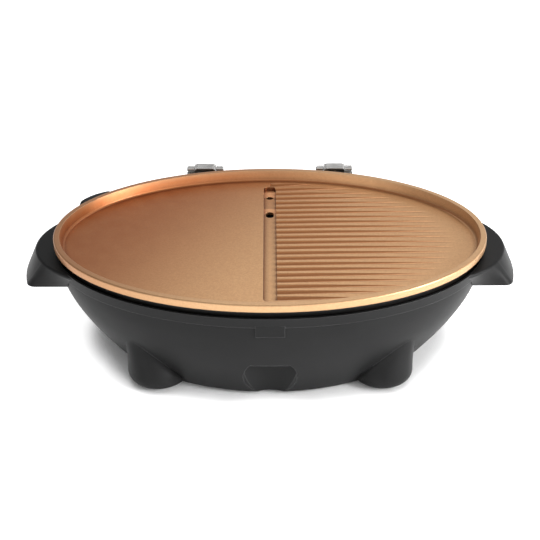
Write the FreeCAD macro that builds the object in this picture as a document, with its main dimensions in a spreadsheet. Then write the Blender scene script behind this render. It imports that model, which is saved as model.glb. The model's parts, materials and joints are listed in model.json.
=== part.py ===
import FreeCAD, Part
import math
import os
import re
from types import SimpleNamespace

# Oval electric barbecue grill: a ridged plate lifts off a footed bowl, a drip drawer slides out at the
# front, and two hinge leaves at the back wait for a lid.
# Lengths are in millimetres and angles in degrees. +X is to the right, +Y to the back, +Z up.
# Every piece is modelled about the plate's centre, then shifted so that the origin is the middle of the
# footprint on the table.

SIZES = (
    # Cooking plate
    ("plate_length", 460),
    ("plate_width", 298),
    ("plate_top", 125),
    ("plate_skirt", 8.7),
    ("plate_edge_radius", 1.6),
    ("rim_land", 6.3),
    ("dish_depth", 11.5),
    ("dish_draft", 3),
    ("dish_corner", 2.5),
    ("floor_thickness", 8),
    ("floor_setback", 5),
    # Drain channel and ridges
    ("channel_width", 13.9),
    ("channel_length", 247),
    ("channel_depth", 4),
    ("channel_corner", 5),
    ("ridge_pitch", 11.19),
    ("groove_width", 8.2),
    ("groove_depth", 3.2),
    ("groove_runout", 6),
    ("groove_end_margin", 20),
    ("groove_side_margin", 7),
    ("drain_width", 9),
    ("drain_front_length", 15),
    ("drain_front_place", 63.5),
    ("drain_back_place", 104),
    ("drain_ramp_length", 13),
    ("drain_ramp_depth", 2),
    # Heating element and its clamps
    ("element_diameter", 7),
    ("element_saddle", 0.5),
    ("element_side_reach", 165),
    ("element_side_run", 50),
    ("element_long_run", 105),
    ("element_front_place", 95),
    ("element_back_place", 82),
    ("element_bend", 28),
    ("element_lead", 24),
    ("clamp_length", 30),
    ("clamp_width", 10),
    ("clamp_height", 9),
    ("clamp_front_place", 55),
    ("clamp_back_place", 70),
    ("clamp_screw_place", 10),
    # Thermostat inlet
    ("socket_turn", 143),
    ("seat_face", 4),
    ("seat_depth", 20),
    ("seat_width", 46),
    ("seat_bottom", 92),
    ("guard_top", 110),
    ("guard_height", 20),
    ("guard_reach", 29),
    ("guard_end_radius", 55),
    ("guard_wall", 2),
    ("guard_corner", 6),
    ("guard_screw_place", 17.5),
    ("terminal_place", 8.5),
    ("terminal_diameter", 4),
    ("terminal_reach", 7),
    ("insulator_diameter", 8),
    ("collar_diameter", 9.5),
    ("collar_thickness", 1.5),
    ("probe_diameter", 6),
    ("probe_bore", 4),
    ("probe_length", 18),
    ("notch_clearance", 2),
    ("notch_reach", 52),
    # Rim frame with handles
    ("rim_length", 461),
    ("rim_width", 299),
    ("rim_top", 109.5),
    ("rim_wall", 2.5),
    ("band_height", 11.5),
    ("band_draft", 1.8),
    ("lip_width", 16),
    ("lip_thickness", 2.5),
    ("crease_length", 500),
    ("crease_width", 252),
    ("handle_length", 523),
    ("handle_end_radius", 151),
    ("handle_span", 94),
    ("handle_bottom", 84),
    ("handle_corner", 10),
    ("handle_root", 180),
    ("handle_wall", 2.8),
    ("handle_edge_radius", 2.5),
    ("tab_width", 29.2),
    ("tab_drop", 10.6),
    ("tab_thickness", 1.5),
    ("tab_root", 8),
    # Bowl and feet
    ("bowl_top_length", 452.9),
    ("bowl_top_width", 293),
    ("bowl_base_length", 342),
    ("bowl_base_width", 248),
    ("bowl_base", 4),
    ("bowl_swell", 1.65),
    ("bowl_wall", 3),
    ("boss_diameter", 14),
    ("boss_height", 13),
    ("foot_place_side", 109),
    ("foot_place_end", 88.5),
    ("foot_bottom", 2),
    ("foot_radius", 41),
    ("foot_toe", 9),
    ("foot_waist", 24),
    ("foot_waist_lean", 13),
    ("foot_waist_radius", 27),
    ("foot_rise", 60),
    ("foot_lean", 27),
    ("foot_tuck", 4),
    ("foot_tip_radius", 17),
    ("pad_diameter", 30),
    ("pad_thickness", 3.5),
    ("pad_edge_radius", 1),
    # Drip drawer, its opening and rails
    ("scoop_radius", 27.6),
    ("scoop_height", 27.5),
    ("scoop_flat", 47),
    ("scoop_hollow_radius", 34),
    ("scoop_bite", 3.4),
    ("scoop_margin", 1.2),
    ("drawer_gap", 0.4),
    ("drawer_width", 44),
    ("drawer_height", 26),
    ("drawer_bottom", 13),
    ("drawer_back", 115),
    ("drawer_front_depth", 11),
    ("drawer_wall", 1.5),
    ("drawer_front_wall", 3.6),
    ("rail_length", 200),
    ("rail_front", 96),
    ("rail_foot_inner", 14),
    ("rail_foot_outer", 36),
    ("rail_guide_height", 8),
    ("rail_guide_thickness", 3),
    ("rail_screw_place", 31),
    ("rail_screw_inset", 25),
    # Reflector pan, drain chute and plate posts
    ("pan_flange_inset", 6),
    ("pan_wall_inset", 24.5),
    ("pan_floor_inset", 34.5),
    ("pan_floor", 80),
    ("pan_sheet", 1.2),
    ("chute_width", 26),
    ("chute_front", 48),
    ("chute_back", 110.5),
    ("chute_bottom", 43),
    ("chute_flange", 2),
    ("post_place_side", 95),
    ("post_place_end", 45),
    ("post_diameter", 12),
    # Hinges
    ("hinge_place", 76),
    ("hinge_setback", 14.5),
    ("hinge_pin_height", 117),
    ("hinge_width", 41),
    ("hinge_sheet", 1.5),
    ("hinge_front", 12),
    ("hinge_back", 7),
    ("knuckle_radius", 4),
    ("leaf_width", 24.7),
    ("leaf_top", 123.2),
    ("leaf_tail", 1.5),
    ("leaf_radius", 5.5),
    ("leaf_corner", 4),
    ("leaf_side_gap", 0.55),
    ("lid_slot_width", 16),
    ("lid_slot_depth", 8),
    ("lid_slot_height", 2),
    ("lid_slot_lift", 4.7),
    ("pin_diameter", 3),
    ("pin_head_diameter", 5),
    ("pin_head", 1),
    ("pin_clearance", 0.2),
    ("lug_width", 44),
    ("lug_tail", 8),
    ("lug_root", 20),
    ("lug_wall", 3.5),
    ("hinge_screw_place", 16.5),
    ("hinge_screw_front", 8),
    # Screws and clearances
    ("screw_diameter", 3),
    ("screw_head_diameter", 6),
    ("screw_head", 1.8),
    ("screw_slot_width", 0.9),
    ("screw_slot_depth", 0.8),
    ("rim_screw_length", 14),
    ("clamp_screw_length", 12.5),
    ("guard_screw_length", 12),
    ("post_screw_length", 12),
    ("rail_screw_length", 8.5),
    ("hinge_screw_length", 7),
    ("fit_clearance", 0.15),
    ("body_clearance", 0.3),
    ("overrun", 2),
)

BOWL_SECTION_SHARES = (0, 0.12, 0.3, 0.6, 1)
RIM_SCREW_ANGLES = (0, 60, 120, 180, 240, 300)
SIDES = (("left", -1), ("right", 1))
ENDS = (("front", -1), ("back", 1))

# Heights and places that several pieces share.
FLOOR = "(plate_top - dish_depth)"
UNDERSIDE = "(plate_top - dish_depth - floor_thickness)"
ELEMENT_HEIGHT = "(plate_top - dish_depth - floor_thickness + element_saddle - element_diameter / 2)"
BOWL_TOP = "(rim_top - band_height)"
LIP_TOP = "(rim_top - band_height + lip_thickness)"
PAN_TOP = "(rim_top - band_height + lip_thickness + pan_sheet)"
BOWL_FLOOR = "(bowl_base + bowl_wall)"
DRAWER_FRONT = "(-bowl_base_width / 2 + drawer_front_depth)"
HINGE_TOP = "(rim_top + hinge_sheet)"
PIN_PLACE = "(rim_width / 2 + hinge_setback)"
SCREW_RING_INSET = "(rim_wall + band_draft + lip_width / 2)"
HOLE_RADIUS = "screw_diameter / 2 + fit_clearance"
ORIGIN_SHIFT = "-(hinge_setback + lug_tail) / 2"

doc = FreeCAD.newDocument("electric_grill")
sheet = doc.addObject("Spreadsheet::Sheet", "Sizes")
for row, (alias, value) in enumerate(SIZES, start=1):
    sheet.set(f"A{row}", alias)
    sheet.set(f"B{row}", str(value))
    sheet.setAlias(f"B{row}", alias)
doc.recompute()

ALIASES = {alias for alias, value in SIZES}
mm = SimpleNamespace(**{alias: float(sheet.get(alias)) for alias in ALIASES})
NODES = []
Z_AXIS = FreeCAD.Vector(0, 0, 1)
ALONG_X = FreeCAD.Rotation(Z_AXIS, FreeCAD.Vector(1, 0, 0))
ALONG_Y = FreeCAD.Rotation(Z_AXIS, FreeCAD.Vector(0, 1, 0))
UPSIDE_DOWN = FreeCAD.Rotation(FreeCAD.Vector(1, 0, 0), 180)


def formula(text):
    """An expression on the sheet's cells from a sum of named sizes."""
    return re.sub(r"[a-z][a-z_]*", lambda word: f"Sizes.{word[0]}" if word[0] in ALIASES else word[0], text)


def link(item, **sizes):
    """Bind properties of an object to sums of named sizes."""
    for name, text in sizes.items():
        item.setExpression(name, formula(text))


def place(item, x="0", y="0", z="0", turn=None):
    """Turn an object and bind its place."""
    if turn:
        item.Placement = FreeCAD.Placement(FreeCAD.Vector(), turn)
    for axis, text in (("x", x), ("y", y), ("z", z)):
        if text != "0":
            item.setExpression(f"Placement.Base.{axis}", formula(text))
    return item


def node(label, item):
    """Name a finished sub-part and move it to the shared origin."""
    item.Label = label
    item.setExpression("Placement.Base.y", formula(ORIGIN_SHIFT))
    NODES.append(item)


def box(name, length, width, height, x="0", y="0", z="0"):
    """A box whose low corner is at x, y, z."""
    item = doc.addObject("Part::Box", name)
    link(item, Length=length, Width=width, Height=height)
    return place(item, x, y, z)


def middle_box(name, length, width, height, x="0", y="0", z="0"):
    """A box centred on x and y that stands on z."""
    return box(name, length, width, height, f"{x} - ({length}) / 2", f"{y} - ({width}) / 2", z)


def cylinder(name, radius, height, x="0", y="0", z="0", turn=None):
    """A cylinder that stands on x, y, z, or is turned about there."""
    item = doc.addObject("Part::Cylinder", name)
    link(item, Radius=radius, Height=height)
    return place(item, x, y, z, turn)


def cut(name, base, tool):
    """The base without the tool."""
    item = doc.addObject("Part::Cut", name)
    item.Base = base
    item.Tool = tool
    return item


def fuse(name, *items):
    """One solid from solids that meet or overlap."""
    item = doc.addObject("Part::MultiFuse", name)
    item.Shapes = list(items)
    return item


def common(name, *items):
    """What all the items share."""
    item = doc.addObject("Part::MultiCommon", name)
    item.Shapes = list(items)
    return item


def group(name, items):
    """Separate solids kept as one object."""
    item = doc.addObject("Part::Compound", name)
    item.Links = list(items)
    return item


def solid_feature(name, shape):
    """An object that holds a shape made by hand."""
    item = doc.addObject("Part::Feature", name)
    item.Shape = shape
    return item


def round_edges(name, base, radius_of):
    """Round the edges of an object for which radius_of gives a radius."""
    doc.recompute()
    item = doc.addObject("Part::Fillet", name)
    item.Base = base
    radii = [(number, radius_of(edge)) for number, edge in enumerate(base.Shape.Edges, start=1)]
    item.Edges = [(number, radius, radius) for number, radius in radii if radius]
    return item


def runs_along(edge, axis):
    """Whether an edge is straight and follows an axis."""
    if edge.Curve.TypeId != "Part::GeomLine":
        return False
    return abs(getattr(edge.Curve.Direction, axis)) > math.cos(math.radians(1))


def is_level(edge, height):
    """Whether an edge lies in the level plane at a height."""
    span = edge.BoundBox
    return abs(span.ZMin - height) < mm.fit_clearance and abs(span.ZMax - height) < mm.fit_clearance


def ellipse_solid(name, *rings):
    """A solid through level ellipses, each given as half length, half width and height."""
    sections = []
    for half_length, half_width, height in rings:
        ring = doc.addObject("Part::Ellipse", f"{name}_ring")
        link(ring, MajorRadius=half_length, MinorRadius=half_width)
        sections.append(place(ring, z=height))
    item = doc.addObject("Part::Loft", name)
    item.Sections = sections
    item.Solid = True
    return item


def inset_ring(part, inset, height):
    """A level ellipse set in from the outline of the plate or of the rim."""
    return f"{part}_length / 2 - ({inset})", f"{part}_width / 2 - ({inset})", height


def obround(name, width, length, height, y, z):
    """An upright slot along Y with round ends."""
    straight = f"(({length}) - ({width}))"
    middle = middle_box(f"{name}_middle", width, straight, height, y=y, z=z)
    front = cylinder(f"{name}_front", f"({width}) / 2", height, y=f"{y} - {straight} / 2", z=z)
    back = cylinder(f"{name}_back", f"({width}) / 2", height, y=f"{y} + {straight} / 2", z=z)
    return fuse(name, middle, front, back)


def screw(name, length):
    """A slotted screw: the head stands on the level plane and the shank runs down from it."""
    head = cylinder(f"{name}_head", "screw_head_diameter / 2", "screw_head")
    shank = cylinder(f"{name}_shank", "screw_diameter / 2", length, z=f"-{length}")
    slot = middle_box(f"{name}_slot", "screw_head_diameter + overrun", "screw_slot_width",
                      "screw_slot_depth + overrun", z="screw_head - screw_slot_depth")
    return cut(name, fuse(f"{name}_blank", head, shank), slot)


def socket_frame():
    """The frame of the thermostat inlet: on the plate's edge, X outward, Y along the edge."""
    turn = math.radians(mm.socket_turn)
    half_length = mm.plate_length / 2
    half_width = mm.plate_width / 2
    point = FreeCAD.Vector(half_length * math.cos(turn), half_width * math.sin(turn), 0)
    outward = math.degrees(math.atan2(half_length * math.sin(turn), half_width * math.cos(turn)))
    return FreeCAD.Placement(point, FreeCAD.Rotation(Z_AXIS, outward))


SOCKET = socket_frame()
UNDERSIDE_HEIGHT = mm.plate_top - mm.dish_depth - mm.floor_thickness
TERMINAL_HEIGHT = UNDERSIDE_HEIGHT + mm.element_saddle - mm.element_diameter / 2
SEAT_BACK = -mm.seat_face - mm.seat_depth


def at_socket(item, out, across, height, turn=None):
    """Put an object at a place in the inlet's frame."""
    item.Placement = SOCKET.multiply(FreeCAD.Placement(FreeCAD.Vector(out, across, height),
                                                       turn or FreeCAD.Rotation()))
    return item


def socket_box(name, length, width, height, out, low):
    """A box centred across the inlet that starts at a distance outward."""
    return at_socket(box(name, length, width, height), out, -mm.seat_width / 2, low)


def socket_bar(name, radius, length, out, across):
    """A cylinder that runs outward at the terminals' height."""
    return at_socket(cylinder(name, radius, length), out, across, TERMINAL_HEIGHT, ALONG_X)


def socket_notch(name):
    """The gap, open at the top, that the inlet drops into."""
    width = mm.seat_width + 2 * mm.notch_clearance
    item = box(name, "seat_depth + seat_face + guard_reach + notch_reach",
               "seat_width + 2 * notch_clearance", "plate_top - guard_top + guard_height + notch_clearance")
    return at_socket(item, SEAT_BACK - mm.notch_clearance, -width / 2,
                     mm.guard_top - mm.guard_height - mm.notch_clearance)


def rounded_path(points, radius):
    """A wire of straight runs with an arc of one radius at each inner point."""
    edges = []
    start = points[0]
    for before, corner, after in zip(points, points[1:], points[2:]):
        arrive = (corner - before).normalize()
        leave = (after - corner).normalize()
        half_turn = arrive.getAngle(leave) / 2
        setback = radius * math.tan(half_turn)
        bulge = radius / math.cos(half_turn) - radius
        inward = (leave - arrive).normalize()
        first = corner - arrive * setback
        last = corner + leave * setback
        edges.append(Part.LineSegment(start, first).toShape())
        edges.append(Part.Arc(first, corner + inward * bulge, last).toShape())
        start = last
    edges.append(Part.LineSegment(start, points[-1]).toShape())
    return Part.Wire(edges)


def element_route():
    """The heater's loop under the plate, from one terminal round to the other."""
    def at_inlet(out, across):
        return SOCKET.multVec(FreeCAD.Vector(out, across, TERMINAL_HEIGHT))

    loop = (
        (-mm.element_side_reach, -mm.element_side_run),
        (-mm.element_long_run, -mm.element_front_place),
        (mm.element_long_run, -mm.element_front_place),
        (mm.element_side_reach, -mm.element_side_run),
        (mm.element_side_reach, mm.element_side_run),
        (mm.element_long_run, mm.element_back_place),
        (-mm.element_long_run, mm.element_back_place),
    )
    points = [at_inlet(SEAT_BACK, mm.terminal_place),
              at_inlet(SEAT_BACK - mm.element_lead, mm.terminal_place)]
    points += [FreeCAD.Vector(x, y, TERMINAL_HEIGHT) for x, y in loop]
    points += [at_inlet(SEAT_BACK - mm.element_lead, -mm.terminal_place),
               at_inlet(SEAT_BACK, -mm.terminal_place)]
    return rounded_path(points, mm.element_bend)


def tube(name, route, radius):
    """A round bar along a route."""
    start = route.OrderedEdges[0]
    ring = Part.Wire(Part.Circle(start.valueAt(0), start.tangentAt(0), radius).toShape())
    return solid_feature(name, route.makePipeShell([ring], True, False))


def clamp_places():
    """Where the four clamps sit on the heater's long runs, as formulas."""
    for name, side in SIDES:
        yield f"front_{name}", f"{side} * clamp_front_place", "-element_front_place"
        yield f"back_{name}", f"{side} * clamp_back_place", "element_back_place"


def clamp_screw_places():
    """Where the clamps' screws go, two to a clamp."""
    for name, x, y in clamp_places():
        for end, sign in ENDS:
            yield f"{name}_{end}", x, f"{y} + {sign} * clamp_screw_place"


def groove_tool(number):
    """A sloping rod that cuts one groove: deepest at the channel, running out before the plate's wall."""
    place_along = (number + 1 / 2) * mm.ridge_pitch
    reach = mm.plate_length / 2 - mm.rim_land - mm.dish_draft - mm.groove_end_margin
    spread = mm.plate_width / 2 - mm.rim_land - mm.dish_draft - mm.groove_side_margin
    end = reach * math.sqrt(1 - (place_along / spread) ** 2)
    half = mm.groove_width / 2
    radius = (half ** 2 + mm.groove_depth ** 2) / (2 * mm.groove_depth)
    floor = mm.plate_top - mm.dish_depth
    slope = mm.groove_depth / (end - mm.channel_width / 2)
    start = FreeCAD.Vector(0, place_along, floor + radius - slope * end)
    point = FreeCAD.Vector(end, place_along, floor + radius)
    length = (point - start).Length + mm.groove_runout
    return solid_feature("groove", Part.makeCylinder(radius, length, start, point - start))


def groove_numbers():
    """The grooves that fit on the plate's floor, counted from the middle."""
    spread = mm.plate_width / 2 - mm.rim_land - mm.dish_draft - mm.groove_side_margin
    count = int(spread / mm.ridge_pitch - 1 / 2) + 1
    return range(-count, count)


def drain_ramp(name, start):
    """A slope in the channel's floor that runs down to a drain from behind."""
    item = doc.addObject("Part::Wedge", name)
    link(item, Xmin="-channel_width / 2", Xmax="channel_width / 2", X2min="-channel_width / 2",
         X2max="channel_width / 2", Ymin="0", Ymax="drain_ramp_length", Zmin="-drain_ramp_depth",
         Zmax="overrun", Z2min="0", Z2max="overrun")
    return place(item, y=start, z=f"{FLOOR} - channel_depth")


def channel_tool():
    """The drain channel with its two drains and their ramps."""
    channel = middle_box("channel_blank", "channel_width", "channel_length", "channel_depth + overrun",
                         z=f"{FLOOR} - channel_depth")
    channel = round_edges("channel", channel, lambda edge: runs_along(edge, "z") and mm.channel_corner)
    hole_height = "floor_thickness + overrun"
    front = obround("drain_front", "drain_width", "drain_front_length", hole_height, "drain_front_place",
                    f"{UNDERSIDE} - overrun")
    back = cylinder("drain_back", "drain_width / 2", hole_height, y="drain_back_place",
                    z=f"{UNDERSIDE} - overrun")
    front_ramp = drain_ramp("drain_front_ramp", "drain_front_place")
    back_ramp = drain_ramp("drain_back_ramp", "drain_back_place")
    return fuse("channel_and_drains", channel, front, back, front_ramp, back_ramp)


def grill_plate():
    """The cast plate: a dish with a flat land, a drain channel and ridges on its right half."""
    skirt_bottom = "plate_top - plate_skirt"
    rim = ellipse_solid("plate_rim", inset_ring("plate", "0", skirt_bottom),
                        inset_ring("plate", "0", "plate_top"))
    rim = round_edges("plate_rim_round", rim, lambda edge: edge.isClosed() and mm.plate_edge_radius)
    block = ellipse_solid("plate_block", inset_ring("plate", "floor_setback", UNDERSIDE),
                          inset_ring("plate", "floor_setback", f"{skirt_bottom} + plate_edge_radius"))
    seat = socket_box("plate_seat", "seat_depth", "seat_width", "guard_top - seat_bottom", SEAT_BACK,
                      mm.seat_bottom)
    dish = ellipse_solid("plate_dish_blank", inset_ring("plate", "rim_land + dish_draft", FLOOR),
                         inset_ring("plate", "rim_land", "plate_top"))
    floor_height = mm.plate_top - mm.dish_depth
    dish = round_edges("plate_dish", dish, lambda edge: is_level(edge, floor_height) and mm.dish_corner)
    plate = cut("plate_dished", fuse("plate_cast", rim, block, seat), dish)
    plate = cut("plate_channelled", plate, channel_tool())
    plate = cut("plate_ridged", plate, group("grooves",
                                             [groove_tool(number) for number in groove_numbers()]))
    below = [tube("element_saddle_tool", element_route(), mm.element_diameter / 2 + mm.fit_clearance)]
    for name, x, y in clamp_screw_places():
        below.append(cylinder(f"plate_hole_{name}", HOLE_RADIUS, "clamp_screw_length + body_clearance", x,
                              y, f"{UNDERSIDE} - clamp_height"))
    for name, side in SIDES:
        below.append(socket_bar(f"plate_terminal_{name}", "insulator_diameter / 2 + fit_clearance",
                                "seat_depth + 2 * overrun", SEAT_BACK - mm.overrun,
                                side * mm.terminal_place))
        below.append(socket_bar(f"plate_guard_{name}", HOLE_RADIUS, "guard_screw_length + body_clearance",
                                -mm.seat_face + mm.guard_wall - mm.guard_screw_length - mm.body_clearance,
                                side * mm.guard_screw_place))
    below.append(socket_bar("plate_probe", "probe_diameter / 2 + fit_clearance", "probe_length + overrun",
                            -mm.seat_face + mm.guard_wall - mm.probe_length, 0))
    node("grill_plate", cut("plate", plate, group("plate_holes", below)))


def heating_element():
    """The tubular heater, laid in a shallow saddle under the plate."""
    node("heating_element", tube("element", element_route(), mm.element_diameter / 2))


def element_clamps():
    """Blocks that hold the heater up against the plate, with two screws each."""
    clamps = []
    for name, x, y in clamp_places():
        block = middle_box(f"clamp_{name}_blank", "clamp_width", "clamp_length", "clamp_height", x, y,
                           f"{UNDERSIDE} - clamp_height")
        tools = [cylinder(f"clamp_{name}_bore", "element_diameter / 2 + fit_clearance",
                          "clamp_width + 2 * overrun",
                          f"{x} - clamp_width / 2 - overrun", y, ELEMENT_HEIGHT, ALONG_X)]
        for end, sign in ENDS:
            tools.append(cylinder(f"clamp_{name}_{end}", HOLE_RADIUS, "clamp_height + 2 * overrun", x,
                                  f"{y} + {sign} * clamp_screw_place",
                                  f"{UNDERSIDE} - clamp_height - overrun"))
        clamps.append(cut(f"clamp_{name}", block, group(f"clamp_{name}_tools", tools)))
    node("element_clamps", group("clamps", clamps))
    screws = [place(screw(f"clamp_screw_{name}", "clamp_screw_length"), x, y, f"{UNDERSIDE} - clamp_height",
                    UPSIDE_DOWN) for name, x, y in clamp_screw_places()]
    node("clamp_screws", group("clamp_screw_set", screws))


def thermostat_inlet():
    """Terminals, insulators, probe socket and the guard round them, all carried by the plate."""
    face = -mm.seat_face + mm.guard_wall
    pins = []
    insulators = []
    guard_tools = []
    screws = []
    for name, side in SIDES:
        across = side * mm.terminal_place
        pins.append(socket_bar(f"terminal_{name}", "terminal_diameter / 2",
                               "seat_depth + seat_face + terminal_reach", SEAT_BACK, across))
        sleeve = socket_bar(f"insulator_{name}_sleeve", "insulator_diameter / 2", "seat_depth + guard_wall",
                            SEAT_BACK, across)
        collar = socket_bar(f"insulator_{name}_collar", "collar_diameter / 2", "collar_thickness", face,
                            across)
        bore = socket_bar(f"insulator_{name}_bore", "terminal_diameter / 2 + fit_clearance",
                          "seat_depth + guard_wall + collar_thickness + 2 * overrun",
                          SEAT_BACK - mm.overrun, across)
        insulators.append(cut(f"insulator_{name}", fuse(f"insulator_{name}_blank", sleeve, collar), bore))
        guard_tools.append(socket_bar(f"guard_terminal_{name}", "insulator_diameter / 2 + fit_clearance",
                                      "2 * guard_wall", face - 3 / 2 * mm.guard_wall, across))
        guard_tools.append(socket_bar(f"guard_hole_{name}", HOLE_RADIUS, "2 * guard_wall",
                                      face - 3 / 2 * mm.guard_wall, side * mm.guard_screw_place))
        screws.append(at_socket(screw(f"guard_screw_{name}", "guard_screw_length"), face,
                                side * mm.guard_screw_place, TERMINAL_HEIGHT, ALONG_X))
    guard_tools.append(socket_bar("guard_probe", "probe_diameter / 2 + fit_clearance", "2 * guard_wall",
                                  face - 3 / 2 * mm.guard_wall, 0))
    node("terminal_pins", group("terminals", pins))
    node("terminal_insulators", group("insulators", insulators))
    node("guard_screws", group("guard_screw_set", screws))

    sleeve = socket_bar("probe_sleeve", "probe_diameter / 2", "probe_length + collar_thickness",
                        face - mm.probe_length, 0)
    bore = socket_bar("probe_hollow", "probe_bore / 2", "probe_length + collar_thickness",
                      face - mm.probe_length + mm.collar_thickness, 0)
    node("probe_socket", cut("probe", sleeve, bore))

    outer = socket_box("guard_blank", "guard_reach + seat_face", "seat_width", "guard_height",
                       -mm.seat_face, mm.guard_top - mm.guard_height)
    outer = round_edges("guard_outer", outer, lambda edge: is_guard_edge(edge) and mm.guard_corner)
    bow = at_socket(cylinder("guard_bow", "guard_end_radius", "guard_height"),
                    mm.guard_reach - mm.guard_end_radius, 0, mm.guard_top - mm.guard_height)
    outer = common("guard_bowed", outer, bow)
    inner = at_socket(box("guard_hollow", "guard_reach + seat_face", "seat_width - 2 * guard_wall",
                          "guard_height - 2 * guard_wall"), face, mm.guard_wall - mm.seat_width / 2,
                      mm.guard_top - mm.guard_height + mm.guard_wall)
    inner = round_edges("guard_inner", inner,
                        lambda edge: is_guard_edge(edge) and mm.guard_corner - mm.guard_wall)
    shell = cut("guard_shell", outer, inner)
    node("socket_guard", cut("guard", shell, group("guard_tools", guard_tools)))


def is_guard_edge(edge):
    """Whether an edge runs outward along the inlet."""
    if edge.Curve.TypeId != "Part::GeomLine":
        return False
    outward = SOCKET.Rotation.multVec(FreeCAD.Vector(1, 0, 0))
    return abs(edge.Curve.Direction.dot(outward)) > math.cos(math.radians(1))


def bowl_solid(name, inset, low):
    """The bowl's swelling oval, inset by a wall, from a low height up to its top."""
    rings = []
    for share in BOWL_SECTION_SHARES:
        swell = f"(1 - (1 - {share}) ^ bowl_swell)"
        half_length = f"(bowl_base_length + (bowl_top_length - bowl_base_length) * {swell}) / 2 - ({inset})"
        half_width = f"(bowl_base_width + (bowl_top_width - bowl_base_width) * {swell}) / 2 - ({inset})"
        rings.append((half_length, half_width, f"{low} + ({BOWL_TOP} - {low}) * {share}"))
    return ellipse_solid(name, *rings)


def foot_solid(name, side, end, inset, inset_length):
    """A round foot that narrows upward and leans outward into the bowl's wall, inset by a wall."""
    sections = []
    for radius, lean, tuck, height in (("foot_radius", "0", "0", inset),
                                       ("foot_waist_radius", "foot_waist_lean", "0", "foot_waist"),
                                       ("foot_tip_radius", "foot_lean", "foot_tuck", f"foot_rise - {inset}")):
        ring = doc.addObject("Part::Circle", f"{name}_ring")
        link(ring, Radius=f"{radius} - {inset}")
        sections.append(place(ring, f"{side} * (foot_place_side + {lean})",
                              f"{end} * (foot_place_end - {tuck})", f"foot_bottom + {height}"))
    body = doc.addObject("Part::Loft", f"{name}_body")
    body.Sections = sections
    body.Solid = True
    sole = mm.foot_bottom + inset_length
    return round_edges(name, body, lambda edge: is_level(edge, sole) and mm.foot_toe - inset_length)


def scoop_prism(name, gap):
    """The drawer's front outline, a disc with a flat top, run through the bowl's front wall."""
    front = "-bowl_top_width / 2 - overrun"
    depth = f"{DRAWER_FRONT} - ({front})"
    disc = cylinder(f"{name}_disc", f"scoop_radius - {gap}", depth, "0", front, "scoop_height", ALONG_Y)
    below = middle_box(f"{name}_below", "2 * scoop_radius", f"2 * ({depth})",
                       "scoop_radius + scoop_flat - scoop_height",
                       y=front, z=f"scoop_height - scoop_radius - {gap}")
    return common(name, disc, below)


def rim_screw_places():
    """Where the screws go that hold pan, rim frame and bowl together."""
    half_length = f"(rim_length / 2 - {SCREW_RING_INSET})"
    half_width = f"(rim_width / 2 - {SCREW_RING_INSET})"
    for angle in RIM_SCREW_ANGLES:
        turn = math.radians(angle)
        yield f"{angle}", f"{half_length} * {math.cos(turn):.6f}", f"{half_width} * {math.sin(turn):.6f}"


def corners():
    """The four feet, by name and signs."""
    for end_name, end in ENDS:
        for side_name, side in SIDES:
            yield f"{end_name}_{side_name}", side, end


def bowl():
    """The footed bowl with its screw bosses, drawer opening, inlet notch and pad recesses."""
    outer = [bowl_solid("bowl_outer", "0", "bowl_base")]
    inner = [bowl_solid("bowl_inner", "bowl_wall", BOWL_FLOOR)]
    tools = [scoop_prism("bowl_opening", "0"), socket_notch("bowl_notch")]
    for name, side, end in corners():
        outer.append(foot_solid(f"foot_{name}", side, end, "0", 0))
        inner.append(foot_solid(f"foot_{name}_hollow", side, end, "bowl_wall", mm.bowl_wall))
        tools.append(cylinder(f"foot_{name}_recess", "pad_diameter / 2 + body_clearance", "pad_thickness",
                              f"{side} * foot_place_side", f"{end} * foot_place_end"))
    bosses = []
    for name, x, y in rim_screw_places():
        bosses.append(cylinder(f"boss_{name}", "boss_diameter / 2", "boss_height", x, y,
                               f"{BOWL_TOP} - boss_height"))
        tools.append(cylinder(f"boss_hole_{name}", HOLE_RADIUS, "rim_screw_length", x, y,
                              f"{PAN_TOP} - rim_screw_length - body_clearance"))
    for name, x, y in rail_screw_places():
        tools.append(cylinder(f"bowl_rail_{name}", HOLE_RADIUS, "bowl_wall + 2 * overrun", x, y,
                              "bowl_base - overrun"))
    shell = cut("bowl_shell", fuse("bowl_body", *outer), fuse("bowl_space", *inner))
    bosses = common("bowl_bosses", fuse("boss_set", *bosses), outer[0])
    shell = fuse("bowl_bossed", shell, bosses)
    node("bowl", cut("bowl_finished", shell, group("bowl_tools", tools)))


def foot_pads():
    """Rubber pads in the feet's recesses, which the grill stands on."""
    for name, side, end in corners():
        pad = cylinder(f"pad_{name}", "pad_diameter / 2", "pad_thickness", f"{side} * foot_place_side",
                       f"{end} * foot_place_end")
        pad = round_edges(f"pad_{name}_round", pad, lambda edge: is_level(edge, 0) and mm.pad_edge_radius)
        node(f"foot_pad_{name}", pad)


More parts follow.
